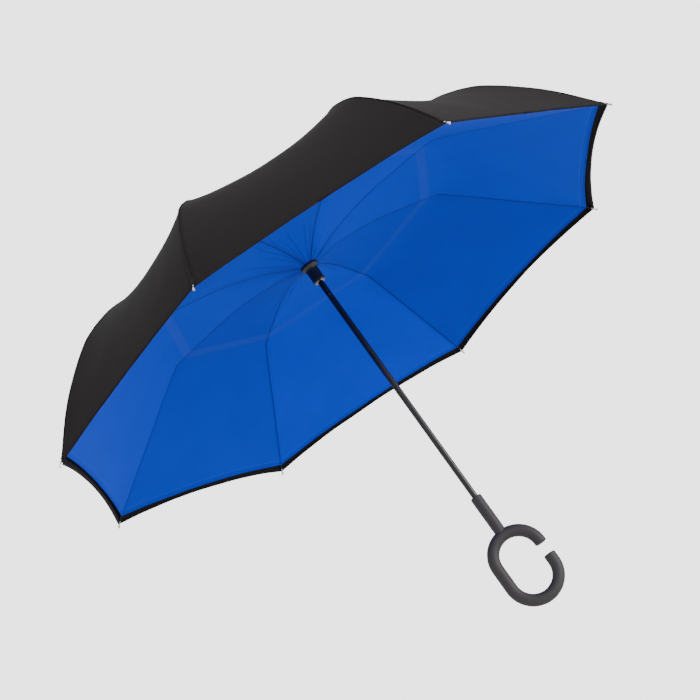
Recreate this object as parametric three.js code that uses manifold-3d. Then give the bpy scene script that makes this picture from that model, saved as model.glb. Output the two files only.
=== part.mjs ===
// Reverse-folding stick umbrella with two canopies, a sliding runner and a C-shaped handle.
// Millimetres. The shaft stands on +Z, the handle's lowest point is at the origin and its gap faces +X.

import * as THREE from 'three';
import { mergeVertices } from 'three/addons/utils/BufferGeometryUtils.js';
import Module from 'manifold-3d';

// Layout
const RIB_COUNT = 8;
const RIB_STEP = (2 * Math.PI) / RIB_COUNT;
const FIRST_RIB = -RIB_STEP / 2;
const HALF_GORE = RIB_STEP / 2;
const GAP = 0.3;

// Shaft and its cap
const SHAFT_RADIUS = 5;
const SHAFT_WALL = 0.8;
const SHAFT_BOTTOM = 136;
const SHAFT_TOP = 752;
const CAP_RADIUS = 15;
const CAP_BOTTOM = 749;
const CAP_TOP = 757;

// Top notch and runner: each holds eight strut ends on a wire ring
const HUB_RADIUS = 16;
const HUB_WIRE_RADIUS = 13;
const WIRE_SECTION = 0.75;
const HUB_HALF_HEIGHT = 6;
const NOTCH_Z = 737;
const RUNNER_Z = 690;
const RUNNER_BOTTOM = 625;
const RUNNER_BODY_RADIUS = 9.9;
const RUNNER_FLANGE_RADIUS = 15.5;
const RUNNER_FLANGE_BOTTOM = 656;
const SLOT_FLOOR_RADIUS = 9;
const SLOT_CLEARANCE = 0.4;

// Struts: flat bars in two planes beside the rib's own
const STRUT_INNER_FACE = 1.9;
const STRUT_THICKNESS = 2;
const STRUT_HALF_WIDTH = 1.9;
const EYE_RADIUS = 2.8;
const HUB_EYE_HOLE = 1.5;
const PIN_RADIUS = 1;
const PIN_HOLE = 1.3;
const STRUT_PLANE = STRUT_INNER_FACE + STRUT_THICKNESS / 2;
const HUB_PIVOT_RADIUS = Math.sqrt(HUB_WIRE_RADIUS ** 2 - STRUT_PLANE ** 2);

// Elbow: the lower strut's pin and the upper strut's eye, as radius and height
const ELBOW = new THREE.Vector2(252, 692);
const UPPER_EYE = new THREE.Vector2(256, 716);
const CORNER = new THREE.Vector2(525, 540);

// Rib rod, described by how far it bows above the line from elbow to corner
const ROD_RADIUS = 1.5;
const ROD_BOW = [[16, 12], [33, 16], [80, 26], [150, 31], [220, 24], [275, 11], [305, 1.5]];
const BRACKET_HALF_THICKNESS = 1.5;
const NEEDLE_LENGTH = 26;
const NEEDLE_RADIUS = 2.4;
const NEEDLE_SOCKET = 8;

// Canopies: height of the fabric along a rib, radius then height
const FABRIC = 0.8;
const OUTER_CROWN = [[7, 746.5], [60, 749], [120, 747.5], [190, 744], [251.5, 740]];
const OUTER_SKIRT = [
  [252.2, 740.2], [298, 735.6], [340, 726.5], [370, 712.5], [395, 696], [440, 652], [480, 604], [517, 553],
];
const INNER_CROWN = [[17, 661], [60, 675], [110, 682], [159, 685.5], [251.5, 684]];
const INNER_SKIRT = [[252, 684], [285, 681.5], [400, 612], [506, 548]];
const OUTER_SCALLOP = 8;
const INNER_SCALLOP = 14;

// Handle
const GRIP_RADIUS = 9.6;
const LOOP_HALF_WIDTH = 38.7;
const LOOP_OFFSET = 1.9;
const LOOP_LOW_CENTRE = 48.3;
const LOOP_HIGH_CENTRE = 84;
const LOOP_GAP = 19.5;
const LOOP_GAP_CENTRE = 70.5;
const NECK_RADIUS = 9.2;
const NECK_TOP = 195;

// Spring catch under the open runner, on the -Y side
const CATCH_THICKNESS = 1.6;
const CATCH_TOP = RUNNER_BOTTOM - 0.5;
const CATCH_REACH = 7.9;
const CATCH_PIVOT = 566;
const CATCH_SLOT_WIDTH = 2.4;
const KEYWAY_DEPTH = 8.4;
const KEYWAY_WIDTH = 2.8;

const wasm = await Module();
wasm.setup();

function toSolid(geometry) {
  const bare = geometry.clone();
  bare.deleteAttribute('normal');
  bare.deleteAttribute('uv');
  const merged = mergeVertices(bare, 1e-4);
  return new wasm.Manifold(new wasm.Mesh({
    numProp: 3,
    vertProperties: new Float32Array(merged.attributes.position.array),
    triVerts: new Uint32Array(merged.index.array),
  }));
}

function toGeometry(solid) {
  const mesh = solid.getMesh();
  const geometry = new THREE.BufferGeometry();
  geometry.setAttribute('position', new THREE.BufferAttribute(new Float32Array(mesh.vertProperties), 3));
  geometry.setIndex(new THREE.BufferAttribute(new Uint32Array(mesh.triVerts), 1));
  geometry.computeVertexNormals();
  return geometry;
}

function join(...geometries) {
  return toGeometry(geometries.map(toSolid).reduce((a, b) => a.add(b)));
}

function cut(geometry, ...tools) {
  return toGeometry(tools.map(toSolid).reduce((a, b) => a.subtract(b), toSolid(geometry)));
}

// A solid of revolution about Z from radius-height pairs; an open profile is closed by its own ends.
function revolve(profile, sides) {
  const points = profile.map(([r, z]) => new THREE.Vector2(r, z));
  return new THREE.LatheGeometry(points, sides).rotateX(Math.PI / 2);
}

function ringProfile(inner, outer, low, high) {
  return [[inner, low], [outer, low], [outer, high], [inner, high], [inner, low]];
}

// An upright rod about Z.
function rod(radius, low, high, sides) {
  const geometry = new THREE.CylinderGeometry(radius, radius, high - low, sides);
  return geometry.rotateX(Math.PI / 2).translate(0, 0, (low + high) / 2);
}

function box(low, high) {
  const size = high.map((v, i) => v - low[i]);
  const middle = high.map((v, i) => (v + low[i]) / 2);
  return new THREE.BoxGeometry(...size).translate(...middle);
}

// A flat outline drawn in radius and height, with its faces at y = top - thickness and y = top.
function plate(shape, thickness, top, curveSegments = 5) {
  const settings = { depth: thickness, bevelEnabled: false, curveSegments };
  return new THREE.ExtrudeGeometry(shape, settings).rotateX(Math.PI / 2).translate(0, top, 0);
}

function circleHole(centre, radius) {
  return new THREE.Path().absarc(centre.x, centre.y, radius, 0, 2 * Math.PI, true);
}

// A bar with round eyes at both ends.
function strutOutline(from, to, holeFrom, holeTo) {
  const angle = Math.atan2(to.y - from.y, to.x - from.x);
  const length = from.distanceTo(to);
  const neck = Math.asin(STRUT_HALF_WIDTH / EYE_RADIUS);
  const shape = new THREE.Shape();
  shape.absarc(0, 0, EYE_RADIUS, neck, 2 * Math.PI - neck, false);
  shape.absarc(length, 0, EYE_RADIUS, Math.PI + neck, Math.PI - neck, false);
  shape.closePath();
  shape.holes.push(circleHole(new THREE.Vector2(0, 0), holeFrom));
  shape.holes.push(circleHole(new THREE.Vector2(length, 0), holeTo));
  return { shape, angle };
}

function strut(from, to, holeFrom, holeTo, top) {
  const { shape, angle } = strutOutline(from, to, holeFrom, holeTo);
  return plate(shape, STRUT_THICKNESS, top, 4).rotateY(-angle).translate(from.x, 0, from.y);
}

// A point given along and above the line from elbow to corner.
function onBow(along, above) {
  const line = CORNER.clone().sub(ELBOW).normalize();
  const across = new THREE.Vector2(-line.y, line.x);
  return ELBOW.clone().addScaledVector(line, along).addScaledVector(across, above);
}

function polygonSection(radius, sides) {
  const shape = new THREE.Shape();
  for (let i = 0; i < sides; i += 1) {
    const angle = (2 * Math.PI * (i + 0.5)) / sides;
    const move = i ? 'lineTo' : 'moveTo';
    shape[move](radius * Math.cos(angle), radius * Math.sin(angle));
  }
  shape.closePath();
  return shape;
}

function sweep(section, path, steps) {
  return new THREE.ExtrudeGeometry(section, { steps, bevelEnabled: false, extrudePath: path });
}

// Rib: bowed rod, elbow bracket and the pin that carries the lower strut.
function ribGeometry() {
  const bow = ROD_BOW.map(([along, above]) => onBow(along, above));
  const path = new THREE.CatmullRomCurve3(bow.map((p) => new THREE.Vector3(p.x, 0, p.y)));
  const bar = sweep(polygonSection(ROD_RADIUS, 6), path, 14);
  const outline = new THREE.Shape();
  outline.absarc(ELBOW.x, ELBOW.y, 3.4, Math.PI, 1.75 * Math.PI, false);
  outline.lineTo(bow[0].x + 4, bow[0].y - 2.4);
  outline.lineTo(bow[0].x + 5, bow[0].y + 1.2);
  outline.absarc(UPPER_EYE.x, UPPER_EYE.y, 3.4, 0, Math.PI, false);
  outline.closePath();
  outline.holes.push(circleHole(UPPER_EYE, PIN_HOLE));
  const bracket = plate(outline, 2 * BRACKET_HALF_THICKNESS, BRACKET_HALF_THICKNESS);
  const pinEnd = -(STRUT_INNER_FACE + STRUT_THICKNESS + GAP);
  const pin = new THREE.CylinderGeometry(PIN_RADIUS, PIN_RADIUS, -pinEnd + 0.2, 10);
  pin.translate(ELBOW.x, (pinEnd - 0.2) / 2, ELBOW.y);
  const head = new THREE.CylinderGeometry(2, 2, 0.8, 10).translate(ELBOW.x, pinEnd - 0.4, ELBOW.y);
  return join(bracket, bar, pin, head);
}

// Needle tip with a socket over the rod's end, turned about its own axis and tilted down.
function needleGeometry() {
  const bore = ROD_RADIUS + GAP;
  const profile = [
    [0, NEEDLE_SOCKET], [bore, NEEDLE_SOCKET], [bore, 0], [NEEDLE_RADIUS, 0],
    [NEEDLE_RADIUS, NEEDLE_SOCKET + 2], [1.5, NEEDLE_SOCKET + 5], [1.5, NEEDLE_LENGTH - 3],
    [1.9, NEEDLE_LENGTH - 2.4], [1.9, NEEDLE_LENGTH - 0.8], [0, NEEDLE_LENGTH],
  ];
  const end = onBow(...ROD_BOW[ROD_BOW.length - 1]);
  const before = onBow(...ROD_BOW[ROD_BOW.length - 2]);
  const along = end.clone().sub(before).normalize();
  const start = end.clone().addScaledVector(along, -(NEEDLE_SOCKET - GAP));
  const tilt = Math.PI / 2 - Math.atan2(along.y, along.x);
  return revolve(profile, 8).rotateY(tilt).translate(start.x, 0, start.y);
}

function alongProfile(profile, share) {
  const place = share * (profile.length - 1);
  const i = Math.min(Math.floor(place), profile.length - 2);
  const f = place - i;
  return [0, 1].map((k) => profile[i][k] * (1 - f) + profile[i + 1][k] * f);
}

function heightAt(profile, radius) {
  const i = Math.max(1, profile.findIndex(([r], k) => k > 0 && r >= radius));
  const [[r0, z0], [r1, z1]] = [profile[i - 1], profile[i]];
  return z0 + ((z1 - z0) * (radius - r0)) / (r1 - r0);
}

// Skirt panel about one rib: a folded sheet that runs to the middle of both neighbouring gores.
function skirtGeometry(profile, scallop) {
  const rows = profile.length - 1;
  const geometry = new THREE.BoxGeometry(2, 1, 1, 2, rows, 1);
  const position = geometry.attributes.position;
  const last = profile[rows][0];
  for (let i = 0; i < position.count; i += 1) {
    const side = -position.getX(i);
    const share = position.getY(i) + 0.5;
    const skin = position.getZ(i) - 0.5;
    let [radius, height] = alongProfile(profile, share);
    if (side !== 0) {
      radius = Math.min(radius, last - scallop);
      height = heightAt(profile, radius);
    }
    const half = radius * Math.cos(HALF_GORE);
    const x = side === 0 ? radius : half * Math.cos(HALF_GORE);
    const y = side * (half * Math.sin(HALF_GORE) - GAP / 2);
    position.setXYZ(i, x, side === 0 ? 0 : y, height + skin * FABRIC);
  }
  return geometry;
}

// Crown: one eight-sided sheet about the shaft with its corners on the ribs.
function crownGeometry(profile) {
  const back = profile.map(([r, z]) => [r, z - FABRIC]).reverse();
  const loop = [...profile, ...back, profile[0]].reverse();
  return revolve(loop, RIB_COUNT).rotateZ(FIRST_RIB);
}

function wireGeometry(height) {
  return new THREE.TorusGeometry(HUB_WIRE_RADIUS, WIRE_SECTION, 6, 32).translate(0, 0, height);
}

// Slots for the strut ends and the round groove that holds the wire.
function hubCuts(height, side) {
  const low = side * (STRUT_PLANE - STRUT_THICKNESS / 2 - SLOT_CLEARANCE);
  const high = side * (STRUT_PLANE + STRUT_THICKNESS / 2 + SLOT_CLEARANCE);
  const reach = HUB_HALF_HEIGHT + 2;
  const cuts = [];
  for (let k = 0; k < RIB_COUNT; k += 1) {
    const slot = box(
      [SLOT_FLOOR_RADIUS, Math.min(low, high), height - reach],
      [HUB_RADIUS + 2, Math.max(low, high), height + reach],
    );
    cuts.push(slot.rotateZ(FIRST_RIB + k * RIB_STEP));
  }
  const groove = new THREE.TorusGeometry(HUB_WIRE_RADIUS, WIRE_SECTION + GAP, 8, 32);
  cuts.push(groove.translate(0, 0, height));
  return cuts;
}

function notchGeometry() {
  const [low, high] = [NOTCH_Z - HUB_HALF_HEIGHT, NOTCH_Z + HUB_HALF_HEIGHT];
  const blank = revolve(ringProfile(SHAFT_RADIUS + GAP, HUB_RADIUS, low, high), 24);
  return cut(blank, ...hubCuts(NOTCH_Z, 1));
}

function runnerGeometry() {
  const bore = SHAFT_RADIUS + GAP;
  const top = RUNNER_Z + HUB_HALF_HEIGHT;
  const profile = [
    [bore, RUNNER_BOTTOM], [RUNNER_BODY_RADIUS + 1, RUNNER_BOTTOM],
    [RUNNER_BODY_RADIUS + 1, RUNNER_BOTTOM + 4],
    [RUNNER_BODY_RADIUS, RUNNER_BOTTOM + 6], [RUNNER_BODY_RADIUS, RUNNER_FLANGE_BOTTOM - 3],
    [RUNNER_FLANGE_RADIUS, RUNNER_FLANGE_BOTTOM], [RUNNER_FLANGE_RADIUS, RUNNER_FLANGE_BOTTOM + 5],
    [RUNNER_BODY_RADIUS + 1, RUNNER_FLANGE_BOTTOM + 8], [RUNNER_BODY_RADIUS + 1, RUNNER_Z - HUB_HALF_HEIGHT],
    [HUB_RADIUS, RUNNER_Z - HUB_HALF_HEIGHT], [HUB_RADIUS, top], [bore, top], [bore, RUNNER_BOTTOM],
  ];
  const keyway = box(
    [-KEYWAY_WIDTH / 2, -KEYWAY_DEPTH, RUNNER_BOTTOM - 1],
    [KEYWAY_WIDTH / 2, 0, top + 1],
  );
  return cut(revolve(profile, 24), keyway, ...hubCuts(RUNNER_Z, -1));
}

function shaftGeometry() {
  const profile = ringProfile(SHAFT_RADIUS - SHAFT_WALL, SHAFT_RADIUS, SHAFT_BOTTOM, SHAFT_TOP);
  const slot = box(
    [-CATCH_SLOT_WIDTH / 2, -SHAFT_RADIUS - 1, 596],
    [CATCH_SLOT_WIDTH / 2, 0, CATCH_TOP + 1.5],
  );
  return cut(revolve(profile, 20), slot);
}

// Catch: a leaf inside the shaft with a nose that stands out under the runner.
function catchGeometry() {
  const inside = SHAFT_RADIUS - SHAFT_WALL - GAP;
  const outline = new THREE.Shape();
  outline.moveTo(inside, CATCH_PIVOT - 8);
  outline.lineTo(inside, 597);
  outline.lineTo(SHAFT_RADIUS, 599);
  outline.lineTo(CATCH_REACH, CATCH_TOP - 8);
  outline.lineTo(CATCH_REACH, CATCH_TOP);
  outline.lineTo(2.2, CATCH_TOP);
  outline.lineTo(2.2, 604);
  outline.lineTo(inside - 1.4, 598);
  outline.lineTo(inside - 1.4, CATCH_PIVOT - 8);
  outline.closePath();
  const leaf = plate(outline, CATCH_THICKNESS, CATCH_THICKNESS / 2);
  return leaf.rotateZ(-Math.PI / 2);
}

function capGeometry() {
  const bore = SHAFT_RADIUS + GAP;
  const profile = [
    [0, SHAFT_TOP + GAP], [bore, SHAFT_TOP + GAP], [bore, CAP_BOTTOM], [CAP_RADIUS, CAP_BOTTOM],
    [CAP_RADIUS, CAP_BOTTOM + 2], [CAP_RADIUS - 2.5, CAP_TOP - 1.6], [7, CAP_TOP], [0, CAP_TOP],
  ];
  return revolve(profile, 24);
}

// Centre line of the handle's loop: an upright oval that starts and ends beside the gap.
class HandleLoop extends THREE.Curve {
  constructor() {
    super();
    this.start = LOOP_GAP_CENTRE + LOOP_GAP / 2;
    this.end = LOOP_GAP_CENTRE - LOOP_GAP / 2;
    this.upper = LOOP_HIGH_CENTRE - this.start;
    this.lower = this.end - LOOP_LOW_CENTRE;
    this.back = LOOP_HIGH_CENTRE - LOOP_LOW_CENTRE;
    this.arc = Math.PI * LOOP_HALF_WIDTH;
  }

  getPoint(t, target = new THREE.Vector3()) {
    let way = t * (this.upper + this.lower + 2 * this.arc + this.back);
    if (way < this.upper) {
      return target.set(LOOP_OFFSET + LOOP_HALF_WIDTH, 0, this.start + way);
    }
    way -= this.upper;
    if (way < this.arc) {
      return this.onArc(way / LOOP_HALF_WIDTH, LOOP_HIGH_CENTRE, target);
    }
    way -= this.arc;
    if (way < this.back) {
      return target.set(LOOP_OFFSET - LOOP_HALF_WIDTH, 0, LOOP_HIGH_CENTRE - way);
    }
    way -= this.back;
    if (way < this.arc) {
      return this.onArc(Math.PI + way / LOOP_HALF_WIDTH, LOOP_LOW_CENTRE, target);
    }
    way -= this.arc;
    return target.set(LOOP_OFFSET + LOOP_HALF_WIDTH, 0, LOOP_LOW_CENTRE + way);
  }

  onArc(turn, height, target) {
    const across = LOOP_OFFSET + LOOP_HALF_WIDTH * Math.cos(turn);
    return target.set(across, 0, height + LOOP_HALF_WIDTH * Math.sin(turn));
  }
}

function handleGeometry() {
  const loop = sweep(polygonSection(GRIP_RADIUS, 14), new HandleLoop(), 36);
  const crest = LOOP_HIGH_CENTRE + LOOP_HALF_WIDTH;
  const neck = revolve([
    [0, crest - 2], [NECK_RADIUS - 0.4, crest - 2], [NECK_RADIUS, crest + 20], [NECK_RADIUS, NECK_TOP - 2],
    [NECK_RADIUS - 1.5, NECK_TOP], [0, NECK_TOP],
  ], 20);
  return cut(join(loop, neck), rod(SHAFT_RADIUS + GAP, SHAFT_BOTTOM - 1, NECK_TOP + 1, 20));
}

const materials = {
  black_plastic: { color: 0x141416, roughness: 0.45, metalness: 0 },
  soft_grip: { color: 0x1c1c1f, roughness: 0.75, metalness: 0 },
  shaft_metal: { color: 0x2c2d30, roughness: 0.3, metalness: 0.9 },
  steel: { color: 0x9a9ca0, roughness: 0.35, metalness: 1 },
  black_steel: { color: 0x202124, roughness: 0.5, metalness: 0.8 },
  black_fabric: { color: 0x0d0d11, roughness: 0.8, metalness: 0 },
  blue_fabric: { color: 0x1f4fb0, roughness: 0.8, metalness: 0 },
};

function part(name, geometry, material) {
  const mesh = new THREE.Mesh(geometry, new THREE.MeshStandardMaterial(materials[material]));
  mesh.name = name;
  return mesh;
}

const umbrella = new THREE.Group();
umbrella.add(part('shaft', shaftGeometry(), 'shaft_metal'));
umbrella.add(part('handle', handleGeometry(), 'soft_grip'));
umbrella.add(part('top_notch', notchGeometry(), 'black_plastic'));
umbrella.add(part('notch_wire', wireGeometry(NOTCH_Z), 'steel'));
umbrella.add(part('top_cap', capGeometry(), 'black_plastic'));
umbrella.add(part('runner', runnerGeometry(), 'black_plastic'));
umbrella.add(part('runner_wire', wireGeometry(RUNNER_Z), 'steel'));
umbrella.add(part('spring_catch', catchGeometry(), 'steel'));
umbrella.add(part('outer_crown', crownGeometry(OUTER_CROWN), 'black_fabric'));
umbrella.add(part('inner_crown', crownGeometry(INNER_CROWN), 'blue_fabric'));

const notchPivot = new THREE.Vector2(HUB_PIVOT_RADIUS, NOTCH_Z);
const runnerPivot = new THREE.Vector2(HUB_PIVOT_RADIUS, RUNNER_Z);
const shapes = [
  ['upper_strut',
    strut(notchPivot, UPPER_EYE, HUB_EYE_HOLE, PIN_HOLE, STRUT_INNER_FACE + STRUT_THICKNESS), 'black_steel'],
  ['lower_strut', strut(runnerPivot, ELBOW, HUB_EYE_HOLE, PIN_HOLE, -STRUT_INNER_FACE), 'black_steel'],
  ['rib', ribGeometry(), 'black_steel'],
  ['tip', needleGeometry(), 'steel'],
  ['outer_skirt', skirtGeometry(OUTER_SKIRT, OUTER_SCALLOP), 'black_fabric'],
  ['inner_skirt', skirtGeometry(INNER_SKIRT, INNER_SCALLOP), 'blue_fabric'],
];

for (let k = 0; k < RIB_COUNT; k += 1) {
  const spoke = new THREE.Group();
  spoke.rotation.z = FIRST_RIB + k * RIB_STEP;
  for (const [name, geometry, material] of shapes) {
    spoke.add(part(`${name}_${k + 1}`, geometry, material));
  }
  umbrella.add(spoke);
}

export default umbrella;
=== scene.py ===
"""Looks for the reverse-folding stick umbrella: two canopies, rims, seams, handle, runner and fittings.

Metres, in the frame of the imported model: the shaft stands on +Z and the handle's gap faces +X.
"""
import math

import bmesh
import bpy
import numpy as np
from mathutils import Matrix, Vector, noise


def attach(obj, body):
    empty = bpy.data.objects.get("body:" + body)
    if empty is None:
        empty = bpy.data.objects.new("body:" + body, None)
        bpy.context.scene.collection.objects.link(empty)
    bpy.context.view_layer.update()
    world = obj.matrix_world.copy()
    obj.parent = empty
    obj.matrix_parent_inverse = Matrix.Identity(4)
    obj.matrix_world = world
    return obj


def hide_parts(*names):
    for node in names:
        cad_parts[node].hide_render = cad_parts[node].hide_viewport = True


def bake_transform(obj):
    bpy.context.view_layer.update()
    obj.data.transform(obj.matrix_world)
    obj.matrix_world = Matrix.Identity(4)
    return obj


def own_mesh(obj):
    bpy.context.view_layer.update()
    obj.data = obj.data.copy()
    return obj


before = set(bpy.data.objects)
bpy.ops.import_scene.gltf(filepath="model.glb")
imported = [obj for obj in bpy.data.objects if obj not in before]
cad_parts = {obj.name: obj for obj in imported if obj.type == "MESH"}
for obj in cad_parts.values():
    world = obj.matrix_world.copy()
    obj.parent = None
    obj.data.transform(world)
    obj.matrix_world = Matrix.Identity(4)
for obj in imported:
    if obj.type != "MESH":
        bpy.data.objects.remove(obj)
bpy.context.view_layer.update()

RIBS = 8
STEP = 2 * math.pi / RIBS
FIRST = -STEP / 2
INSIDE, OUTSIDE = -1, 1

# ---------------------------------------------------------------- helpers


def mm(values):
    """Rows of millimetres in metres."""
    return [[c / 1000 for c in row] for row in values]


def turn(k):
    """The rotation that takes the +X half-plane to rib k."""
    return Matrix.Rotation(FIRST + k * STEP, 4, "Z")


def make_object(name, verts, faces, material, uvs=None, matrix=None):
    mesh = bpy.data.meshes.new(name)
    mesh.from_pydata([tuple(v) for v in verts], [], [tuple(f) for f in faces])
    mesh.update()
    if uvs is not None:
        layer = mesh.uv_layers.new(name="cloth")
        index = np.empty(len(mesh.loops), dtype=np.int32)
        mesh.loops.foreach_get("vertex_index", index)
        layer.data.foreach_set("uv", np.asarray(uvs, dtype=np.float32)[index].ravel())
    if matrix is not None:
        mesh.transform(matrix)
    mesh.polygons.foreach_set("use_smooth", [True] * len(mesh.polygons))
    mesh.materials.append(material)
    obj = bpy.data.objects.new(name, mesh)
    bpy.context.scene.collection.objects.link(obj)
    return obj


def grid_faces(rows, cols, closed=False, flip=False):
    """Quads between rows of points, the last column joined to the first if closed."""
    faces = []
    for i in range(rows - 1):
        for j in range(cols if closed else cols - 1):
            n = (j + 1) % cols
            quad = (i * cols + j, i * cols + n, (i + 1) * cols + n, (i + 1) * cols + j)
            faces.append(quad[::-1] if flip else quad)
    return faces


def lathe(profile, sides=48):
    """Vertices and faces of a solid of revolution about Z; profile runs from low to high, outside right."""
    verts, rings = [], []
    for r, z in profile:
        if r < 1e-7:
            rings.append([len(verts)])
            verts.append((0.0, 0.0, z))
        else:
            rings.append(list(range(len(verts), len(verts) + sides)))
            for j in range(sides):
                a = 2 * math.pi * j / sides
                verts.append((r * math.cos(a), r * math.sin(a), z))
    faces = []
    for low, high in zip(rings[:-1], rings[1:]):
        for j in range(sides):
            n = (j + 1) % sides
            if len(low) == 1 and len(high) == 1:
                continue
            if len(low) == 1:
                faces.append((low[0], high[n], high[j]))
            elif len(high) == 1:
                faces.append((low[j], low[n], high[0]))
            else:
                faces.append((low[j], low[n], high[n], high[j]))
    return verts, faces


def rounded(points, radius=0.0006, steps=3):
    """The same outline with its corners rounded."""
    out = [points[0]]
    for a, b, c in zip(points[:-2], points[1:-1], points[2:]):
        va, vc = Vector(a) - Vector(b), Vector(c) - Vector(b)
        if min(va.length, vc.length) < 1e-6:
            out.append(b)
            continue
        cut = min(radius, 0.45 * va.length, 0.45 * vc.length)
        p, q = Vector(b) + va.normalized() * cut, Vector(b) + vc.normalized() * cut
        for i in range(steps + 1):
            t = i / steps
            m = p * (1 - t) ** 2 + Vector(b) * 2 * t * (1 - t) + q * t * t
            out.append(tuple(m))
    out.append(points[-1])
    return out


def add_lathe(name, profile, material, sides=48, matrix=None, radius=0.0006):
    verts, faces = lathe(rounded(mm(profile), radius), sides)
    return make_object(name, verts, faces, material, matrix=matrix)


def cut_with(obj, cutters):
    """Booleans applied to the mesh, then the cutters are removed."""
    for cutter in cutters:
        modifier = obj.modifiers.new("cut", "BOOLEAN")
        modifier.operation = "DIFFERENCE"
        modifier.solver = "EXACT"
        modifier.object = cutter
    bpy.context.view_layer.update()
    graph = bpy.context.evaluated_depsgraph_get()
    mesh = bpy.data.meshes.new_from_object(obj.evaluated_get(graph))
    obj.modifiers.clear()
    obj.data = mesh
    for cutter in cutters:
        bpy.data.objects.remove(cutter)
    return obj


def box_object(low, high, matrix=None):
    """A box between two corners in millimetres, used as a cutter."""
    x0, y0, z0 = (c / 1000 for c in low)
    x1, y1, z1 = (c / 1000 for c in high)
    verts = [(x, y, z) for x in (x0, x1) for y in (y0, y1) for z in (z0, z1)]
    faces = [(0, 1, 3, 2), (4, 6, 7, 5), (0, 4, 5, 1), (2, 3, 7, 6), (0, 2, 6, 4), (1, 5, 7, 3)]
    mesh = bpy.data.meshes.new("cutter")
    mesh.from_pydata(verts, [], faces)
    if matrix is not None:
        mesh.transform(matrix)
    obj = bpy.data.objects.new("cutter", mesh)
    bpy.context.scene.collection.objects.link(obj)
    return obj


def sharpen(obj, degrees):
    """Keeps edges steeper than this crisp, and shades the rest smooth."""
    mesh = obj.data
    bm = bmesh.new()
    bm.from_mesh(mesh)
    limit = math.radians(degrees)
    for edge in bm.edges:
        edge.smooth = not (len(edge.link_faces) == 2 and edge.calc_face_angle(0.0) > limit)
    for face in bm.faces:
        face.smooth = True
    bm.to_mesh(mesh)
    bm.free()
    return obj


def sweep(name, path, section, material):
    """A closed section of (side, up) offsets carried along path, capped; side is horizontal, across it."""
    verts, n = [], len(path)
    for i, p in enumerate(path):
        p = Vector(p)
        ahead = Vector(path[min(i + 1, n - 1)]) - Vector(path[max(i - 1, 0)])
        ahead.normalize()
        side = Vector((0, 0, 1)).cross(ahead)
        side = side.normalized() if side.length > 1e-6 else Vector((0, 1, 0))
        up = ahead.cross(side)
        for a, b in section:
            verts.append(p + side * a + up * b)
    m = len(section)
    faces = grid_faces(n, m, closed=True, flip=True)
    faces.append(tuple(range(m)))
    faces.append(tuple((n - 1) * m + j for j in reversed(range(m))))
    return make_object(name, verts, faces, material)


def oval(width, depth, sides):
    """A section for sweep."""
    turns = np.linspace(0, 2 * math.pi, sides, endpoint=False)
    return [(width * math.cos(t), depth * math.sin(t)) for t in turns]


# ---------------------------------------------------------------- materials


def new_material(name, colour, roughness, metallic=0.0):
    mat = bpy.data.materials.new(name)
    mat.use_nodes = True
    bsdf = mat.node_tree.nodes["Principled BSDF"]
    bsdf.inputs["Base Color"].default_value = (*colour, 1)
    bsdf.inputs["Roughness"].default_value = roughness
    bsdf.inputs["Metallic"].default_value = metallic
    return mat, mat.node_tree, bsdf


def node(tree, kind, **values):
    """A shader node with these properties or inputs set."""
    made = tree.nodes.new(kind)
    for key, value in values.items():
        if hasattr(made, key):
            setattr(made, key, value)
        else:
            made.inputs[key.replace("_", " ")].default_value = value
    return made


def maths(tree, operation, a, b=None, clamp=False):
    made = tree.nodes.new("ShaderNodeMath")
    made.operation = operation
    made.use_clamp = clamp
    for i, value in enumerate((a, b)):
        if value is None:
            continue
        if hasattr(value, "is_linked"):
            tree.links.new(value, made.inputs[i])
        else:
            made.inputs[i].default_value = value
    return made.outputs[0]


def mix_colour(tree, factor, a, b, blend="MIX"):
    made = tree.nodes.new("ShaderNodeMix")
    made.data_type = "RGBA"
    made.blend_type = blend
    for socket, value in ((made.inputs[0], factor), (made.inputs[6], a), (made.inputs[7], b)):
        if hasattr(value, "is_linked"):
            tree.links.new(value, socket)
        elif isinstance(value, (int, float)):
            socket.default_value = value
        else:
            socket.default_value = (*value, 1)
    return made.outputs[2]


def stripe(tree, value, centre, half, soft):
    """1 where value is within half of centre, falling to 0 over soft."""
    away = maths(tree, "ABSOLUTE", maths(tree, "SUBTRACT", value, centre))
    past = maths(tree, "DIVIDE", maths(tree, "SUBTRACT", away, half), soft)
    return maths(tree, "SUBTRACT", 1.0, past, clamp=True)


def dashes(tree, value, period, share):
    """1 on the stitches of a line, 0 between them."""
    place = maths(tree, "FRACT", maths(tree, "DIVIDE", value, period))
    return maths(tree, "LESS_THAN", place, share)


# Stitches, hem, sewn band and creases: their places, widths and spacings. Last, the weave textures' scales.
STITCH_SHARE = 0.6
SEAM_STITCH_AWAY, SEAM_STITCH_PERIOD = 0.0042, 0.0036
HEM_WIDTH, HEM_STITCH_AT, HEM_STITCH_PERIOD = 0.0092, 0.0078, 0.0034
BAND_CENTRE, BAND_HALF, BAND_LINES, BAND_STITCH_PERIOD = 0.2575, 0.0088, (0.2490, 0.2660), 0.0040
DOT_PERIOD = 0.0032
STITCH_HALF, STITCH_SOFT = 0.0003, 0.0007
CREASE_HALF, CREASE_FADE = 0.0022, 0.05
WARP_SCALE, WEFT_SCALE = 330.0, 360.0


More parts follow.
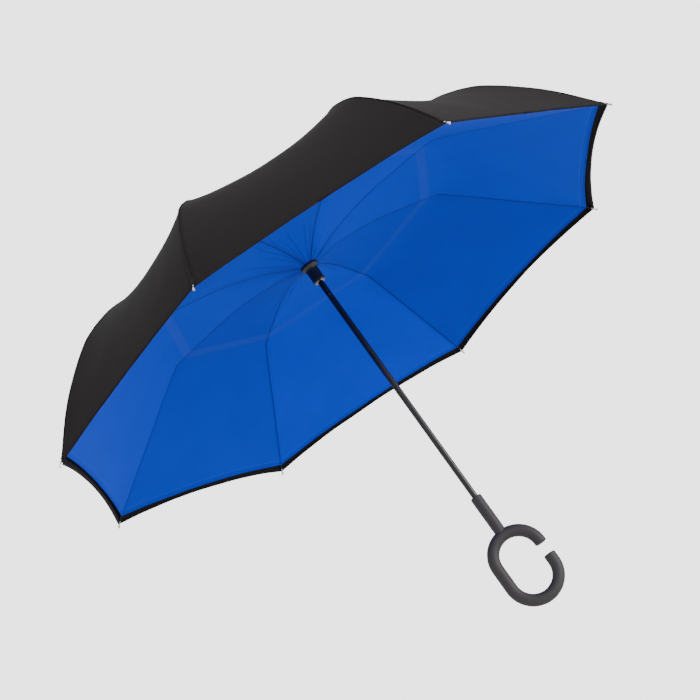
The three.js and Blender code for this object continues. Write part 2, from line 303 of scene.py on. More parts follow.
def fabric_material(name, colour, dark, light, sheen, roughness, specular, band, shaded_creases):
    """Plain-weave pongee: weave, slub, stitched seams, hem, an optional band, creases near the hub darkened
    with painted shade.
    """
    mat, tree, bsdf = new_material(name, colour, roughness)
    bsdf.inputs["Sheen Weight"].default_value = sheen
    bsdf.inputs["Sheen Roughness"].default_value = 0.4
    bsdf.inputs["Specular IOR Level"].default_value = specular
    uv = node(tree, "ShaderNodeUVMap", uv_map="cloth")
    split = tree.nodes.new("ShaderNodeSeparateXYZ")
    tree.links.new(uv.outputs[0], split.inputs[0])
    across, along = split.outputs[0], split.outputs[1]

    slub = node(tree, "ShaderNodeTexNoise", Scale=9.0, Detail=4.0, Roughness=0.55)
    tree.links.new(uv.outputs[0], slub.inputs["Vector"])
    shade = mix_colour(tree, slub.outputs["Fac"], dark, light)
    fine = node(tree, "ShaderNodeTexNoise", Scale=900.0, Detail=2.0)
    stretch = node(tree, "ShaderNodeMapping")
    stretch.inputs["Scale"].default_value = (1.0, 0.12, 1.0)
    tree.links.new(uv.outputs[0], stretch.inputs["Vector"])
    tree.links.new(stretch.outputs[0], fine.inputs["Vector"])
    yarn = maths(tree, "MULTIPLY", maths(tree, "SUBTRACT", fine.outputs["Fac"], 0.5), 0.16)
    base = mix_colour(tree, maths(tree, "ADD", 0.5, yarn), mix_colour(tree, 0.5, shade, (0, 0, 0)), shade)
    base = mix_colour(tree, 0.72, base, shade)
    # painted shade and light: each gore's colour is scaled by a factor standing in for how light falls on it
    tone = node(tree, "ShaderNodeAttribute", attribute_name="tone")
    base = mix_colour(tree, 1.0, base, tone.outputs["Fac"], "MULTIPLY")

    seam = stripe(tree, across, 0.0, 0.0006, 0.0012)
    fold = stripe(tree, maths(tree, "ABSOLUTE", across), SEAM_STITCH_AWAY, 0.0002, 0.0006)
    stitch = maths(tree, "MULTIPLY", fold, dashes(tree, along, SEAM_STITCH_PERIOD, 0.62))
    base = mix_colour(tree, maths(tree, "MULTIPLY", seam, 0.75), base, [c * 0.18 for c in dark])
    base = mix_colour(tree, maths(tree, "MULTIPLY", stitch, 0.35), base, [c * 0.4 for c in dark])
    height = maths(tree, "MULTIPLY", seam, -0.9)
    height = maths(tree, "ADD", height, maths(tree, "MULTIPLY", stitch, 0.4))
    edge = node(tree, "ShaderNodeAttribute", attribute_name="edge").outputs["Fac"]
    row = stripe(tree, edge, HEM_STITCH_AT, STITCH_HALF, STITCH_SOFT)
    sewn = maths(tree, "MULTIPLY", row, dashes(tree, across, HEM_STITCH_PERIOD, STITCH_SHARE))
    base = mix_colour(tree, maths(tree, "MULTIPLY", sewn, 0.35), base, [c * 2.2 + 0.004 for c in light])
    hem = maths(tree, "DIVIDE", maths(tree, "SUBTRACT", HEM_WIDTH, edge), 0.0008, clamp=True)
    base = mix_colour(tree, maths(tree, "MULTIPLY", hem, 0.16), base, [c * 0.5 for c in dark])
    height = maths(tree, "ADD", height, maths(tree, "SUBTRACT", hem, maths(tree, "MULTIPLY", sewn, 0.6)))
    if band:
        tape = stripe(tree, along, BAND_CENTRE, BAND_HALF, 0.0015)
        columns, rows = dashes(tree, along, DOT_PERIOD, 0.5), dashes(tree, across, DOT_PERIOD, 0.5)
        dots = maths(tree, "MULTIPLY", columns, rows)
        speck = maths(tree, "ADD", 0.04, maths(tree, "MULTIPLY", dots, 0.30))
        base = mix_colour(tree, maths(tree, "MULTIPLY", tape, speck), base, band)
        for line in BAND_LINES:
            row = stripe(tree, along, line, STITCH_HALF, STITCH_SOFT)
            sewn = maths(tree, "MULTIPLY", row, dashes(tree, across, BAND_STITCH_PERIOD, STITCH_SHARE))
            base = mix_colour(tree, maths(tree, "MULTIPLY", sewn, 0.20), base, [c * 0.35 for c in dark])
            height = maths(tree, "ADD", height, maths(tree, "MULTIPLY", sewn, -0.4))
    for slant, reach in shaded_creases:
        wander = maths(tree, "MULTIPLY", maths(tree, "SUBTRACT", object_noise(tree, 14.0, 2.0), 0.5), 0.10)
        bearing = maths(tree, "ADD", maths(tree, "DIVIDE", across, along), wander)
        turned = maths(tree, "ABSOLUTE", maths(tree, "SUBTRACT", bearing, slant))
        away = maths(tree, "MULTIPLY", turned, along)
        line = maths(tree, "SUBTRACT", 1.0, maths(tree, "DIVIDE", away, CREASE_HALF), clamp=True)
        fade = maths(tree, "DIVIDE", maths(tree, "SUBTRACT", reach, along), CREASE_FADE, clamp=True)
        patchy = maths(tree, "SUBTRACT", object_noise(tree, 6.0, 1.0), 0.38)
        patch = maths(tree, "MULTIPLY", patchy, 6.0, clamp=True)
        line = maths(tree, "MULTIPLY", maths(tree, "MULTIPLY", line, fade), patch)
        # painted shade: the crease lines are darkened in the base colour, and the bump below dents them
        base = mix_colour(tree, maths(tree, "MULTIPLY", line, 0.45), base, [c * 0.4 for c in dark])
        height = maths(tree, "ADD", height, maths(tree, "MULTIPLY", line, -3.0))
    tree.links.new(base, bsdf.inputs["Base Color"])

    warp = node(tree, "ShaderNodeTexWave", Scale=WARP_SCALE, Distortion=0.6, Detail=1.0)
    warp.bands_direction = "X"
    weft = node(tree, "ShaderNodeTexWave", Scale=WEFT_SCALE, Distortion=0.6, Detail=1.0)
    weft.bands_direction = "Y"
    for wave in (warp, weft):
        tree.links.new(uv.outputs[0], wave.inputs["Vector"])
    weave = maths(tree, "MULTIPLY", maths(tree, "ADD", warp.outputs["Fac"], weft.outputs["Fac"]), 0.10)
    crumple = node(tree, "ShaderNodeTexNoise", Scale=26.0, Detail=5.0, Roughness=0.6)
    tree.links.new(uv.outputs[0], crumple.inputs["Vector"])
    height = maths(tree, "ADD", height, weave)
    height = maths(tree, "ADD", height, maths(tree, "MULTIPLY", crumple.outputs["Fac"], 0.55))
    bump = node(tree, "ShaderNodeBump", Strength=0.45, Distance=0.0006)
    tree.links.new(height, bump.inputs["Height"])
    tree.links.new(bump.outputs[0], bsdf.inputs["Normal"])
    rough = maths(tree, "ADD", roughness - 0.06, maths(tree, "MULTIPLY", slub.outputs["Fac"], 0.12))
    tree.links.new(rough, bsdf.inputs["Roughness"])
    return mat


def object_noise(tree, scale, detail=3.0, roughness=0.5):
    """Noise that stays with the piece as it moves."""
    where = tree.nodes.new("ShaderNodeTexCoord")
    made = node(tree, "ShaderNodeTexNoise", Scale=scale, Detail=detail, Roughness=roughness)
    tree.links.new(where.outputs["Object"], made.inputs["Vector"])
    return made.outputs["Fac"]


CLOTH_GRAIN_DEPTH = 0.0002


def solid_material(name, colour, light, roughness, metallic, grain, depth, spread=0.1, wear=0.0):
    """Moulded, metal or thick cloth surface: fine grain in the bump, blotchy sheen, paler worn corners."""
    mat, tree, bsdf = new_material(name, colour, roughness, metallic)
    bsdf.inputs["Specular IOR Level"].default_value = 0.5 if depth < CLOTH_GRAIN_DEPTH else 0.06
    blotch = object_noise(tree, 60.0, 4.0)
    base = mix_colour(tree, blotch, colour, light)
    if wear:
        shape = tree.nodes.new("ShaderNodeNewGeometry")
        corner = maths(tree, "SUBTRACT", shape.outputs["Pointiness"], 0.53)
        edge = maths(tree, "MULTIPLY", corner, 9.0, clamp=True)
        edge = maths(tree, "MULTIPLY", edge, maths(tree, "MULTIPLY", object_noise(tree, 300.0), wear))
        base = mix_colour(tree, edge, base, [min(1.0, c * 3 + 0.05) for c in light])
    tree.links.new(base, bsdf.inputs["Base Color"])
    patches = maths(tree, "MULTIPLY", object_noise(tree, 110.0, 5.0), spread)
    rough = maths(tree, "ADD", roughness - spread / 2, patches)
    tree.links.new(rough, bsdf.inputs["Roughness"])
    bump = node(tree, "ShaderNodeBump", Strength=0.5, Distance=depth)
    tree.links.new(object_noise(tree, grain, 4.0, 0.6), bump.inputs["Height"])
    tree.links.new(bump.outputs[0], bsdf.inputs["Normal"])
    return mat


BLUE = fabric_material(
    "blue_pongee", colour=(0.001, 0.042, 0.52), dark=(0.0005, 0.036, 0.46), light=(0.002, 0.050, 0.60),
    sheen=0.015, roughness=0.62, specular=0.07, band=(0.10, 0.10, 0.46),
    shaded_creases=[(-0.20, 0.13), (-0.09, 0.17), (0.07, 0.20), (0.16, 0.12), (0.27, 0.16)])
BLACK = fabric_material(
    "black_pongee", colour=(0.0125, 0.0100, 0.0115), dark=(0.0100, 0.0080, 0.0092),
    light=(0.0155, 0.0125, 0.0145), sheen=0.005, roughness=0.64, specular=0.045, band=None,
    shaded_creases=[(-0.17, 0.10), (0.11, 0.13), (0.24, 0.09)])
HEM_BLACK = solid_material(
    "hem_binding", (0.010, 0.009, 0.010), (0.020, 0.018, 0.020), roughness=0.7, metallic=0.0, grain=2600.0,
    depth=CLOTH_GRAIN_DEPTH)
HEM_BLUE = solid_material(
    "blue_hem", (0.001, 0.034, 0.42), (0.002, 0.044, 0.52), roughness=0.66, metallic=0.0, grain=2600.0,
    depth=CLOTH_GRAIN_DEPTH)
THREAD = solid_material(
    "seam_tape", (0.001, 0.020, 0.20), (0.002, 0.026, 0.26), roughness=0.75, metallic=0.0, grain=3000.0,
    depth=CLOTH_GRAIN_DEPTH)
GRIP = solid_material(
    "soft_grip", (0.022, 0.0185, 0.0205), (0.032, 0.027, 0.030), roughness=0.58, metallic=0.0, grain=2400.0,
    depth=0.0001, spread=0.12, wear=0.15)
NYLON = solid_material(
    "moulded_nylon", (0.007, 0.007, 0.008), (0.014, 0.013, 0.015), roughness=0.33, metallic=0.0, grain=1500.0,
    depth=0.00008, spread=0.14, wear=0.2)
ENAMEL = solid_material(
    "black_enamel", (0.030, 0.029, 0.031), (0.055, 0.053, 0.056), roughness=0.26, metallic=0.85, grain=900.0,
    depth=0.00002, spread=0.12, wear=0.1)
FRAME_STEEL = solid_material(
    "coated_steel", (0.020, 0.020, 0.022), (0.045, 0.044, 0.047), roughness=0.42, metallic=0.6, grain=1300.0,
    depth=0.00004, spread=0.2, wear=0.3)
DULL_STEEL = solid_material(
    "dull_steel", (0.30, 0.30, 0.31), (0.38, 0.37, 0.37), roughness=0.35, metallic=1.0, grain=1100.0,
    depth=0.00003, spread=0.16)
NICKEL = solid_material(
    "nickel_plate", (0.60, 0.60, 0.61), (0.72, 0.71, 0.71), roughness=0.26, metallic=1.0, grain=1100.0,
    depth=0.00003, spread=0.16)

# ---------------------------------------------------------------- canopies

# Distances from the shaft at which the canopies start, are cut into pieces and end.
BLUE_HOLE_X, BLACK_HOLE_X = 0.0162, 0.006
COLLAR_X = 0.045
HUB_SPLIT_X = 0.110
ELBOW_X = 0.252
BLUE_SEAM_END, BLACK_SEAM_START, BLACK_SEAM_END = 0.511, 0.020, 0.523
# The hidden lap over the elbow, and where the gathers about the hub begin and how fast they rise.
LAP, LAP_DROP = 0.008, 0.0005
GATHER_START, GATHER_RISE = 0.017, 0.012
SOFTENING = 0.028


def spline(points, count=400):
    """Dense heights along a smooth curve through radius-height points."""
    p = np.array([points[0], *points, points[-1]], dtype=float) / 1000
    p[0] = 2 * p[1] - p[2]
    p[-1] = 2 * p[-2] - p[-3]
    out = []
    for i in range(1, len(p) - 2):
        t = np.linspace(0, 1, count)[:, None]
        a, b, c, d = p[i - 1:i + 3]
        square, cube = 2 * a - 5 * b + 4 * c - d, 3 * b - a - 3 * c + d
        out.append(0.5 * (2 * b + (c - a) * t + square * t**2 + cube * t**3))
    return np.concatenate(out)


class Canopy:
    """One canopy layer: its line along a rib, and how each gore sags between two ribs.

    parts are stretches of that line in millimetres, which meet in a fold. ends are the rim's reach at a
    corner and mid-gore. sag is the gores' depth against reach. pucker is the gathers' height, how far out
    they fade, and the slack ripples' height. The last argument holds painted shade and light: a factor on
    each gore's colour that stands in for how light falls on that gore.
    """

    def __init__(self, parts, ends, sag, seed, pucker, tone):
        line = np.concatenate([spline(part) for part in parts])
        self.r, keep = np.unique(line[:, 0], return_index=True)
        self.z = line[keep, 1]
        even = np.linspace(self.r[0], self.r[-1], 1200)
        height = np.interp(even, self.r, self.z)
        width = SOFTENING / (even[1] - even[0])
        kernel = np.exp(-0.5 * (np.arange(-3 * width, 3 * width + 1) / width) ** 2)
        pad = len(kernel) // 2
        before, after = 2 * height[0] - height[pad:0:-1], 2 * height[-1] - height[-2:-pad - 2:-1]
        wide = np.concatenate([before, height, after])
        self.even = even
        self.soft = np.convolve(wide, kernel / kernel.sum(), "same")[pad:-pad]
        self.ends = ends
        self.tone = tone
        self.sag = sag
        self.seed = seed
        self.pucker = pucker

    def rim(self, v):
        """The rim's place on the rib line's scale at share v of the gore."""
        corner, middle = self.ends
        return corner - (corner - middle) * (1 - abs(2 * v - 1) ** 2.3)

    def point(self, rho, v, side):
        """The place at rho along the rib line and share v of the gore on that side, in the rib's frame."""
        reach = rho * (1 - v + v * math.cos(STEP))
        lateral = rho * v * math.sin(STEP)
        inside = 4 * v * (1 - v)
        crisp = float(np.interp(rho, self.r, self.z))
        soft = float(np.interp(rho, self.even, self.soft))
        height = crisp + (soft - crisp) * inside ** 0.5
        near = 0.006
        ahead, behind = (np.interp(rho + d, self.even, self.soft) for d in (near, -near))
        slope = float(ahead - behind) / (2 * near)
        size = math.hypot(1, slope)
        normal_r, normal_z = -slope / size, 1 / size
        depth = float(np.interp(rho, *self.sag)) * inside
        centre = math.cos(STEP / 2)
        reach += depth * normal_r * centre
        lateral += depth * normal_r * math.sin(STEP / 2) * (v * 2)
        height += depth * normal_z
        return reach, side * lateral, height

    def wrinkle(self, x, y, rho, v):
        """Small folds: gathers about the hub and slack ripples further out, at a place in the row frame."""
        bearing = math.atan2(y, x)
        height, reach, ripple = self.pucker
        near = math.exp(-max(0.0, rho - 0.018) / reach)
        gather = math.sin(24 * bearing + 1.3 * math.sin(3 * bearing + self.seed))
        gather += 0.6 * math.sin(40 * bearing + self.seed * 2 + rho * 30)
        fold = height * near * gather * min(1.0, max(0.0, rho - GATHER_START) / GATHER_RISE)
        slack = noise.noise(Vector((x * 9, y * 9, self.seed)))
        slack += 0.5 * noise.noise(Vector((x * 23, y * 23, self.seed + 5)))
        fade = min(1.0, 8 * v) * 0.8 + 0.2
        return fold + ripple * slack * fade * min(1.0, rho / 0.08)


BLUE_LAYER = Canopy(
    parts=[[(16.2, 660.5), (38, 668), (70, 676.5), (110, 682.5), (159, 686.2), (215, 685), (252, 684.0),
            (285, 682.6)],
           [(285, 682.6), (345, 647.5), (405, 611.0), (465, 575.2), (528, 537.4)]],
    ends=(0.5145, 0.5065),
    sag=([0.0, 0.08, 0.20, 0.30, 0.42, 0.53], [0.0, -0.001, -0.002, 0.004, 0.005, 0.001]),
    # the per-gore factors below are painted shade and light, set to how light falls on each gore
    seed=3.1, pucker=(0.0006, 0.045, 0.0010), tone=[1.06, 0.92, 1.06, 0.90, 1.03, 1.0, 1.0, 1.12],
)
BLACK_LAYER = Canopy(
    parts=[[(6.0, 748.6), (30, 750.4), (75, 750.6), (130, 748.8), (190, 745.4), (252, 741.6), (300, 736.6),
            (330, 730.6), (350, 722.6), (372, 711.5), (398, 693.5), (440, 652.5), (480, 605.5),
            (528, 535.8)]],
    ends=(0.5265, 0.5185),
    sag=([0.0, 0.06, 0.18, 0.30, 0.36, 0.44, 0.53], [0.0, -0.004, -0.011, -0.015, -0.014, -0.009, -0.003]),
    # the per-gore factors below are painted shade and light, set to how light falls on each gore
    seed=8.4, pucker=(0.0006, 0.040, 0.0012), tone=[0.92, 0.97, 1.02, 1.0, 0.96, 1.0, 0.97, 0.95],
)


def surface(layer, k, rho, v, side, lift=0.0):
    """A canopy point about rib k in the row frame, raised by lift."""
    x, y, z = layer.point(rho, v, side)
    a = FIRST + k * STEP
    px, py = x * math.cos(a) - y * math.sin(a), x * math.sin(a) + y * math.cos(a)
    return px, py, z + layer.wrinkle(px, py, rho, v) + lift


HALF_COLUMNS = 12


def column_shares():
    """(share, side) of each column, from one gore's middle over the rib to the other's, closer by the rib."""
    out = []
    for j in range(-HALF_COLUMNS, HALF_COLUMNS + 1):
        t = abs(j) / HALF_COLUMNS
        out.append((0.5 * t ** 1.25, -1 if j < 0 else 1))
    return out


COLUMNS = column_shares()


def line_rho(x, v):
    """Where a straight line across the rib at distance x meets share v of the gore."""
    return x / (1 - v * (1 - math.cos(STEP)))


def gather(obj, k, body, keep):
    """The piece rides its body, on a mesh of its own."""
    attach(obj, body)
    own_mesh(obj)


def canopy_piece(name, layer, k, start, end, rows, material, body, keep, up, lap=0.0):
    """A piece of one layer about rib k, between two lines, with a hidden lap beyond the second.

    With no keep its place is baked into its mesh and it rides no body.
    """
    verts, uvs, edges = [], [], []
    shares = [(t, 0.0) for t in np.linspace(0, 1, rows)]
    if lap:
        shares += [(1.0, lap * t) for t in (0.35, 0.7, 1.0)]
    for share, beyond in shares:
        for v, side in COLUMNS:
            low, high = start(v), end(v)
            rho = low + (high - low) * share + beyond
            verts.append(surface(layer, k, rho, v, side, -LAP_DROP * up if beyond else 0.0))
            uvs.append((side * rho * v * math.sin(STEP), rho))
            edges.append(layer.rim(v) - rho)
    faces = grid_faces(len(shares), len(COLUMNS), flip=up == INSIDE)
    obj = make_object(name, verts, faces, material, uvs)
    obj.data.attributes.new("edge", "FLOAT", "POINT").data.foreach_set("value", edges)
    # painted shade and light: each face carries its gore's brightness factor
    painted_gore_shades = obj.data.attributes.new("tone", "FLOAT", "FACE")
    gores = [(k - 1) % RIBS] * HALF_COLUMNS + [k] * HALF_COLUMNS
    painted_gore_shades.data.foreach_set("value", [layer.tone[g] for g in gores] * (len(shares) - 1))
    if keep is None:
        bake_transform(obj)
    else:
        gather(obj, k, body, keep)
    return obj


def rim_cord(name, layer, k, material, body, keep, size):
    """The rolled hem along this rib's share of the rim."""
    path = [surface(layer, k, layer.rim(v), v, side) for v, side in COLUMNS]
    gather(sweep(name, path, oval(size, size * 0.62, 10), material), k, body, keep)


def seam_strip(name, layer, k, low, high, count, material, body, offset, width):
    """The folded seam allowance along rib k."""
    path = [surface(layer, k, rho, 0.0, 1, offset) for rho in np.linspace(low, high, count)]
    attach(sweep(name, path, oval(width, 0.0005, 8), material), body)


def blend_normals(pieces):
    """Shares normals between pieces where their edges meet, so that a layer reads as one sheet."""
    where, normals = {}, {}
    for obj in pieces:
        mesh = obj.data
        co = np.array([v.co[:] for v in mesh.vertices])
        area = np.zeros((len(co), 3))
        for p in mesh.polygons:
            n = np.array(p.normal) * p.area
            for i in p.vertices:
                area[i] += n
        where[obj.name] = [tuple(np.round(c, 6)) for c in co]
        for key, n in zip(where[obj.name], area):
            normals[key] = normals.get(key, 0) + n
    for obj in pieces:
        out = []
        for key in where[obj.name]:
            n = normals[key]
            out.append(tuple(n / max(np.linalg.norm(n), 1e-12)))
        obj.data.normals_split_custom_set_from_vertices(out)


# The share of its width that each piece keeps when the umbrella is folded.
BLUE_HUB_KEEP, BLUE_MID_KEEP, BLUE_SKIRT_KEEP = 0.66, 0.30, 0.24
BLACK_CROWN_KEEP, BLACK_SKIRT_KEEP = 0.12, 0.08
BLACK_HEM_SIZE, BLUE_HEM_SIZE = 0.0021, 0.0012
BLUE_SEAM, BLACK_SEAM = {"offset": 0.0009, "width": 0.0022}, {"offset": 0.0, "width": 0.0013}


def at_x(x):
    """The line straight across the rib at distance x, as a function of the gore's share."""
    return lambda v: line_rho(x, v)


def ring(rho):
    """The hole's edge, as a function of the gore's share."""
    return lambda v: rho


blue_pieces, black_pieces = [], []
for k in range(RIBS):
    n = k + 1
    lower, upper, rib = f"lower_strut_{n}", f"upper_strut_{n}", f"rib_{n}"
    collar = canopy_piece(f"inner_collar_gore_{n}", BLUE_LAYER, k, ring(BLUE_HOLE_X), at_x(COLLAR_X), 9, BLUE,
                          lower, None, INSIDE)
    hub = canopy_piece(f"inner_hub_gore_{n}", BLUE_LAYER, k, at_x(COLLAR_X), at_x(HUB_SPLIT_X), 12, BLUE,
                       lower, BLUE_HUB_KEEP, INSIDE)
    mid = canopy_piece(f"inner_mid_gore_{n}", BLUE_LAYER, k, at_x(HUB_SPLIT_X), at_x(ELBOW_X), 16, BLUE,
                       lower, BLUE_MID_KEEP, INSIDE, LAP)
    skirt = canopy_piece(f"inner_skirt_gore_{n}", BLUE_LAYER, k, at_x(ELBOW_X), BLUE_LAYER.rim, 34, BLUE, rib,
                         BLUE_SKIRT_KEEP, INSIDE)
    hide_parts(f"inner_skirt_{n}")
    if k == 0:
        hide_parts("inner_crown")
    blue_pieces += [collar, hub, mid, skirt]
    crown = canopy_piece(f"outer_crown_gore_{n}", BLACK_LAYER, k, ring(BLACK_HOLE_X), at_x(ELBOW_X), 28,
                         BLACK, upper, BLACK_CROWN_KEEP, OUTSIDE)
    cover = canopy_piece(f"outer_skirt_gore_{n}", BLACK_LAYER, k, at_x(ELBOW_X), BLACK_LAYER.rim, 40,
                         BLACK, rib, BLACK_SKIRT_KEEP, OUTSIDE)
    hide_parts(f"outer_skirt_{n}")
    if k == 0:
        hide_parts("outer_crown")
    black_pieces += [crown, cover]
    rim_cord(f"outer_hem_{n}", BLACK_LAYER, k, HEM_BLACK, rib, BLACK_SKIRT_KEEP, BLACK_HEM_SIZE)
    rim_cord(f"inner_hem_{n}", BLUE_LAYER, k, HEM_BLUE, rib, BLUE_SKIRT_KEEP, BLUE_HEM_SIZE)
    seam_strip(f"inner_seam_a_{n}", BLUE_LAYER, k, COLLAR_X, ELBOW_X, 40, THREAD, lower, **BLUE_SEAM)
    seam_strip(f"inner_seam_b_{n}", BLUE_LAYER, k, ELBOW_X, BLUE_SEAM_END, 40, THREAD, rib, **BLUE_SEAM)
    seam_strip(f"outer_seam_a_{n}", BLACK_LAYER, k, BLACK_SEAM_START, ELBOW_X, 40, HEM_BLACK, upper,
               **BLACK_SEAM)
    seam_strip(f"outer_seam_b_{n}", BLACK_LAYER, k, ELBOW_X, BLACK_SEAM_END, 50, HEM_BLACK, rib, **BLACK_SEAM)

blend_normals(blue_pieces)
blend_normals(black_pieces)

# ---------------------------------------------------------------- handle

LOOP_HALF_WIDTH, LOOP_OFFSET = 0.0387, 0.0019
LOOP_LOW, LOOP_HIGH = 0.0483, 0.084
GAP_LOW, GAP_HIGH = 0.06075, 0.08025
GRIP_RADIUS = 0.0096
PARTING_DEPTH, PARTING_SPREAD = 0.00022, 0.09
END_ROUNDING = [(0.0, 0.45), (0.0002, 0.80), (0.0008, 0.94), (0.0018, 1.0)]


def half_loop(height, first):
    """Half a turn of the loop's centre line about a centre at this height, from angle first on."""
    turns = np.linspace(first, first + math.pi, 70)[1:]
    return [(LOOP_HALF_WIDTH * math.cos(t), height + LOOP_HALF_WIDTH * math.sin(t)) for t in turns]


def handle_path():
    """The loop's centre line, from the gap's upper edge over the top and round to its lower edge."""
    points = [(LOOP_HALF_WIDTH, z) for z in np.linspace(GAP_HIGH, LOOP_HIGH, 5)]
    points += half_loop(LOOP_HIGH, 0)
    points += [(-LOOP_HALF_WIDTH, z) for z in np.linspace(LOOP_HIGH, LOOP_LOW, 24)[1:]]
    points += half_loop(LOOP_LOW, math.pi)
    points += [(LOOP_HALF_WIDTH, z) for z in np.linspace(LOOP_LOW, GAP_LOW, 10)[1:]]
    return [Vector((x + LOOP_OFFSET, 0, z)) for x, z in points]


def handle_mesh():
    """The grip's tube along the loop, its ends rounded, with a fine parting line inside and outside."""
    path, sides = handle_path(), 48
    first = (path[1] - path[0]).normalized()
    last = (path[-1] - path[-2]).normalized()
    stations = [(path[0] + first * d, first, f) for d, f in END_ROUNDING]
    for behind, centre, ahead in zip(path[1:-3], path[2:-2], path[3:-1]):
        stations.append((centre, (ahead - behind).normalized(), 1.0))
    stations += [(path[-1] - last * d, last, f) for d, f in reversed(END_ROUNDING)]
    verts = []
    for centre, ahead, share in stations:
        side = Vector((0, 1, 0))
        out = ahead.cross(side)
        for j in range(sides):
            t = 2 * math.pi * j / sides
            groove = PARTING_DEPTH * math.exp(-(math.sin(t) / PARTING_SPREAD) ** 2) if share == 1.0 else 0.0
            verts.append(centre + (side * math.sin(t) + out * math.cos(t)) * (GRIP_RADIUS * share - groove))
    count = len(stations)
    faces = grid_faces(count, sides, closed=True, flip=True)
    faces.append(tuple(range(sides)))
    faces.append(tuple((count - 1) * sides + j for j in reversed(range(sides))))
    return verts, faces


grip = make_object("handle_grip", *handle_mesh(), GRIP)
NECK_PROFILE = [(0, 120), (8.2, 120), (8.8, 127), (9.2, 141), (9.2, 192.8), (8.9, 194.3), (8.2, 195),
                (5.2, 195), (5.2, 193)]
neck = add_lathe("handle_neck", NECK_PROFILE, GRIP, 48, radius=0.0008)
joint = grip.modifiers.new("join", "BOOLEAN")
joint.operation = "UNION"
joint.solver = "EXACT"
joint.object = neck
bpy.context.view_layer.update()
graph = bpy.context.evaluated_depsgraph_get()
grip.data = bpy.data.meshes.new_from_object(grip.evaluated_get(graph))
grip.modifiers.clear()
bpy.data.objects.remove(neck)
sharpen(grip, 50)
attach(grip, "shaft_assembly")
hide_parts("handle")

# ---------------------------------------------------------------- shaft, runner, notch, cap

# Millimetres, as in all the profiles below.
BORE = 5.3
KEY_HALF_WIDTH, KEY_DEPTH = 1.4, 8.4
FLUTES = 12


def tube_profile(inner, outer, low, high):
    return [(inner, low), (outer, low), (outer, high), (inner, high), (inner, low)]


def keyway(low, high):
    """Cutter for the slot in a sleeve's bore that passes the catch."""
    return box_object((-KEY_HALF_WIDTH, -KEY_DEPTH, low), (KEY_HALF_WIDTH, 0, high))


shaft = add_lathe("shaft_tube", tube_profile(4.2, 5.0, 136, 752), ENAMEL, 64, radius=0.0001)
cut_with(shaft, [box_object((-1.2, -7, 596), (1.2, 0, 626))])
sharpen(shaft, 30)
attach(shaft, "shaft_assembly")
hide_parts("shaft")


def slots(height, side):
    """Cutters for the eight strut slots of a hub at this height, to one side of each rib's line."""
    cutters = []
    low, high = sorted((side * 1.5, side * 4.3))
    for k in range(RIBS):
        cutters.append(box_object((9, low, height - 9), (20, high, height + 9), turn(k)))
    return cutters


NOTCH_PROFILE = [(BORE, 731), (15.2, 731), (16, 732), (16, 742), (15.2, 743), (BORE, 743), (BORE, 731)]
notch = add_lathe("notch_hub", NOTCH_PROFILE, NYLON, 96, radius=0.0004)
cut_with(notch, slots(737, 1))
sharpen(notch, 30)
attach(notch, "shaft_assembly")
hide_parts("top_notch")

RUNNER_BODY = [(BORE, 627.5), (10.4, 627.5), (10.9, 628.2), (10.9, 631), (10.4, 632), (10.4, 650),
               (11.0, 652.4)]
FINGER_RING = [(14.6, 655.2), (15.5, 656.2), (15.5, 660.2), (14.8, 661), (10.8, 662.4), (10.0, 664)]
RUNNER_HUB = [(10.0, 683), (11, 684), (15.2, 684), (16, 685), (16, 695), (15.2, 696), (BORE, 696),
              (BORE, 627.5)]
runner = add_lathe("runner_sleeve", RUNNER_BODY + FINGER_RING + RUNNER_HUB, NYLON, 96, radius=0.0005)
cutters = slots(690, -1) + [keyway(624, 697)]
for j in range(FLUTES):
    around = Matrix.Rotation(2 * math.pi * (j + 0.5) / FLUTES, 4, "Z")
    cutters.append(box_object((9.95, -0.45, 634), (12, 0.45, 649), around))
cut_with(runner, cutters)
sharpen(runner, 30)
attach(runner, "runner")
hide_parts("runner")

CAP_PROFILE = [(0, 752.3), (BORE, 752.3), (BORE, 749), (14.3, 749), (15, 749.6), (15, 751), (14.2, 753.4),
               (11.8, 755.4), (7.5, 756.7), (3, 757), (0, 757)]
cap = add_lathe("cap_dome", CAP_PROFILE, NYLON, 64, radius=0.0005)
sharpen(cap, 40)
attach(cap, "shaft_assembly")
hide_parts("top_cap")

FERRULE_PROFILE = [(5.45, 625.8), (7.6, 625.8), (8.2, 626.3), (8.2, 627.1), (7.9, 627.4), (5.45, 627.4),
                   (5.45, 625.8)]
ferrule = add_lathe("runner_ferrule", FERRULE_PROFILE, DULL_STEEL, 64, radius=0.0003)
cut_with(ferrule, [keyway(624, 628)])
sharpen(ferrule, 30)
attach(ferrule, "runner")


def finish_node(name, material):
    """A CAD node that is shown as it is, in this material."""
    bpy.data.objects[name].data.materials.clear()
    bpy.data.objects[name].data.materials.append(material)


finish_node("notch_wire", NICKEL)
finish_node("runner_wire", NICKEL)
finish_node("spring_catch", ENAMEL)

# ---------------------------------------------------------------- struts, ribs and tips

# Where a tip's needle sits in the end of a rib turned to +X, and its turn about Y in radians.
SOCKET_X, SOCKET_Z, SOCKET_LEAN = 0.51393, 0.55054, 2.38550
SOCKET = Matrix.Translation((SOCKET_X, 0, SOCKET_Z)) @ Matrix.Rotation(SOCKET_LEAN, 4, "Y")
POCKET_PROFILE = [(1.9, -1), (3.1, -0.6), (3.3, 1.5), (3.1, 6), (2.7, 11.5), (2.1, 13.4), (1.6, 13.6)]

for k in range(RIBS):
    n = k + 1
    for name in (f"upper_strut_{n}", f"lower_strut_{n}", f"rib_{n}"):
        finish_node(name, FRAME_STEEL)
    finish_node(f"tip_{n}", NICKEL)
    pocket = add_lathe(f"corner_pocket_{n}", POCKET_PROFILE, HEM_BLACK, 20, SOCKET)
    pocket.data.transform(turn(k))
    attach(pocket, f"rib_{n}")

# ---------------------------------------------------------------- camera, floor and light

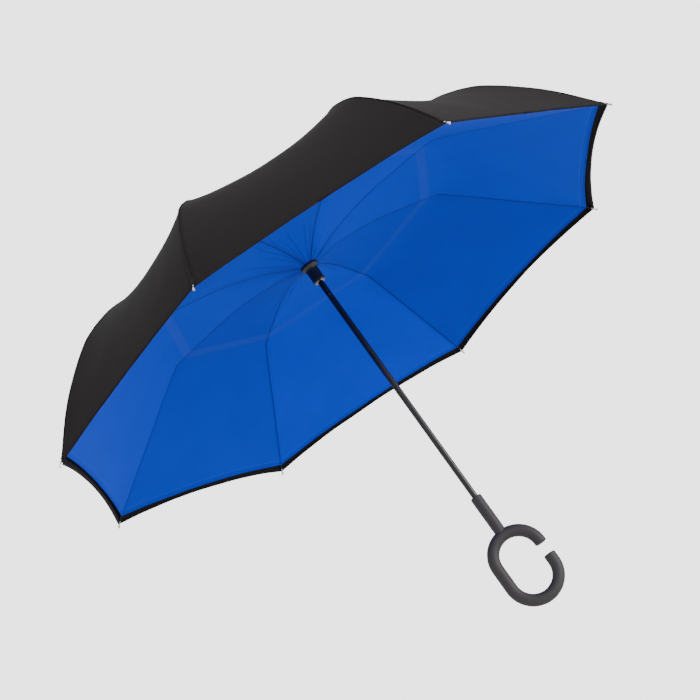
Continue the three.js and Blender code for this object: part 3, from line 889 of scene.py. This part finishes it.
# The camera stands at the photo's angle, low and to one side.
CAMERA_TURN = (111.473, 33.662, 5.658)
FLOOR_HALF, FLOOR_Z = 9, -0.9
BACKDROP_RADIUS, BACKDROP_STRENGTH = 8.5, 3.0

camera = bpy.data.objects.new("camera", bpy.data.cameras.new("camera"))
bpy.context.scene.collection.objects.link(camera)
camera.data.lens = 89.064
camera.data.sensor_width = 36
camera.data.clip_end = 50
camera.location = (-0.3267, -2.5886, -0.3307)
camera.rotation_euler = [math.radians(a) for a in CAMERA_TURN]
bpy.context.scene.camera = camera

pale, _, _ = new_material("pale_floor", (0.86, 0.86, 0.86), 0.9)
corners = [(x * FLOOR_HALF, y * FLOOR_HALF, FLOOR_Z) for x, y in ((-1, -1), (1, -1), (1, 1), (-1, 1))]
floor = make_object("floor", corners, [(0, 1, 2, 3)], pale)

white, _, white_shader = new_material("backdrop_white", (0, 0, 0), 1.0)
white_shader.inputs["Specular IOR Level"].default_value = 0.0
white_shader.inputs["Emission Color"].default_value = (1, 1, 1, 1)
white_shader.inputs["Emission Strength"].default_value = BACKDROP_STRENGTH
arc = [(BACKDROP_RADIUS * math.sin(t), -BACKDROP_RADIUS * math.cos(t)) for t in np.linspace(0, math.pi, 13)]
backdrop = make_object("backdrop", *lathe(arc, 24), white)
for ray in ("diffuse", "glossy", "transmission", "volume_scatter", "shadow"):
    setattr(backdrop, f"visible_{ray}", False)

world = bpy.data.worlds.new("studio")
world.use_nodes = True
world.node_tree.nodes["Background"].inputs[0].default_value = (1, 1, 1, 1)
world.node_tree.nodes["Background"].inputs[1].default_value = 1.0
bpy.context.scene.world = world


def area_light(name, place, aim, size, power):
    light = bpy.data.objects.new(name, bpy.data.lights.new(name, "AREA"))
    bpy.context.scene.collection.objects.link(light)
    light.data.energy = power
    light.data.size = size
    light.location = place
    light.rotation_euler = (Vector(aim) - Vector(place)).to_track_quat("-Z", "Y").to_euler()


area_light("key", (2.7, -1.7, 0.2), (0, 0, 0.45), 1.5, 75)
area_light("top", (0.4, -0.6, 3.0), (0, 0, 0.6), 2.0, 25)
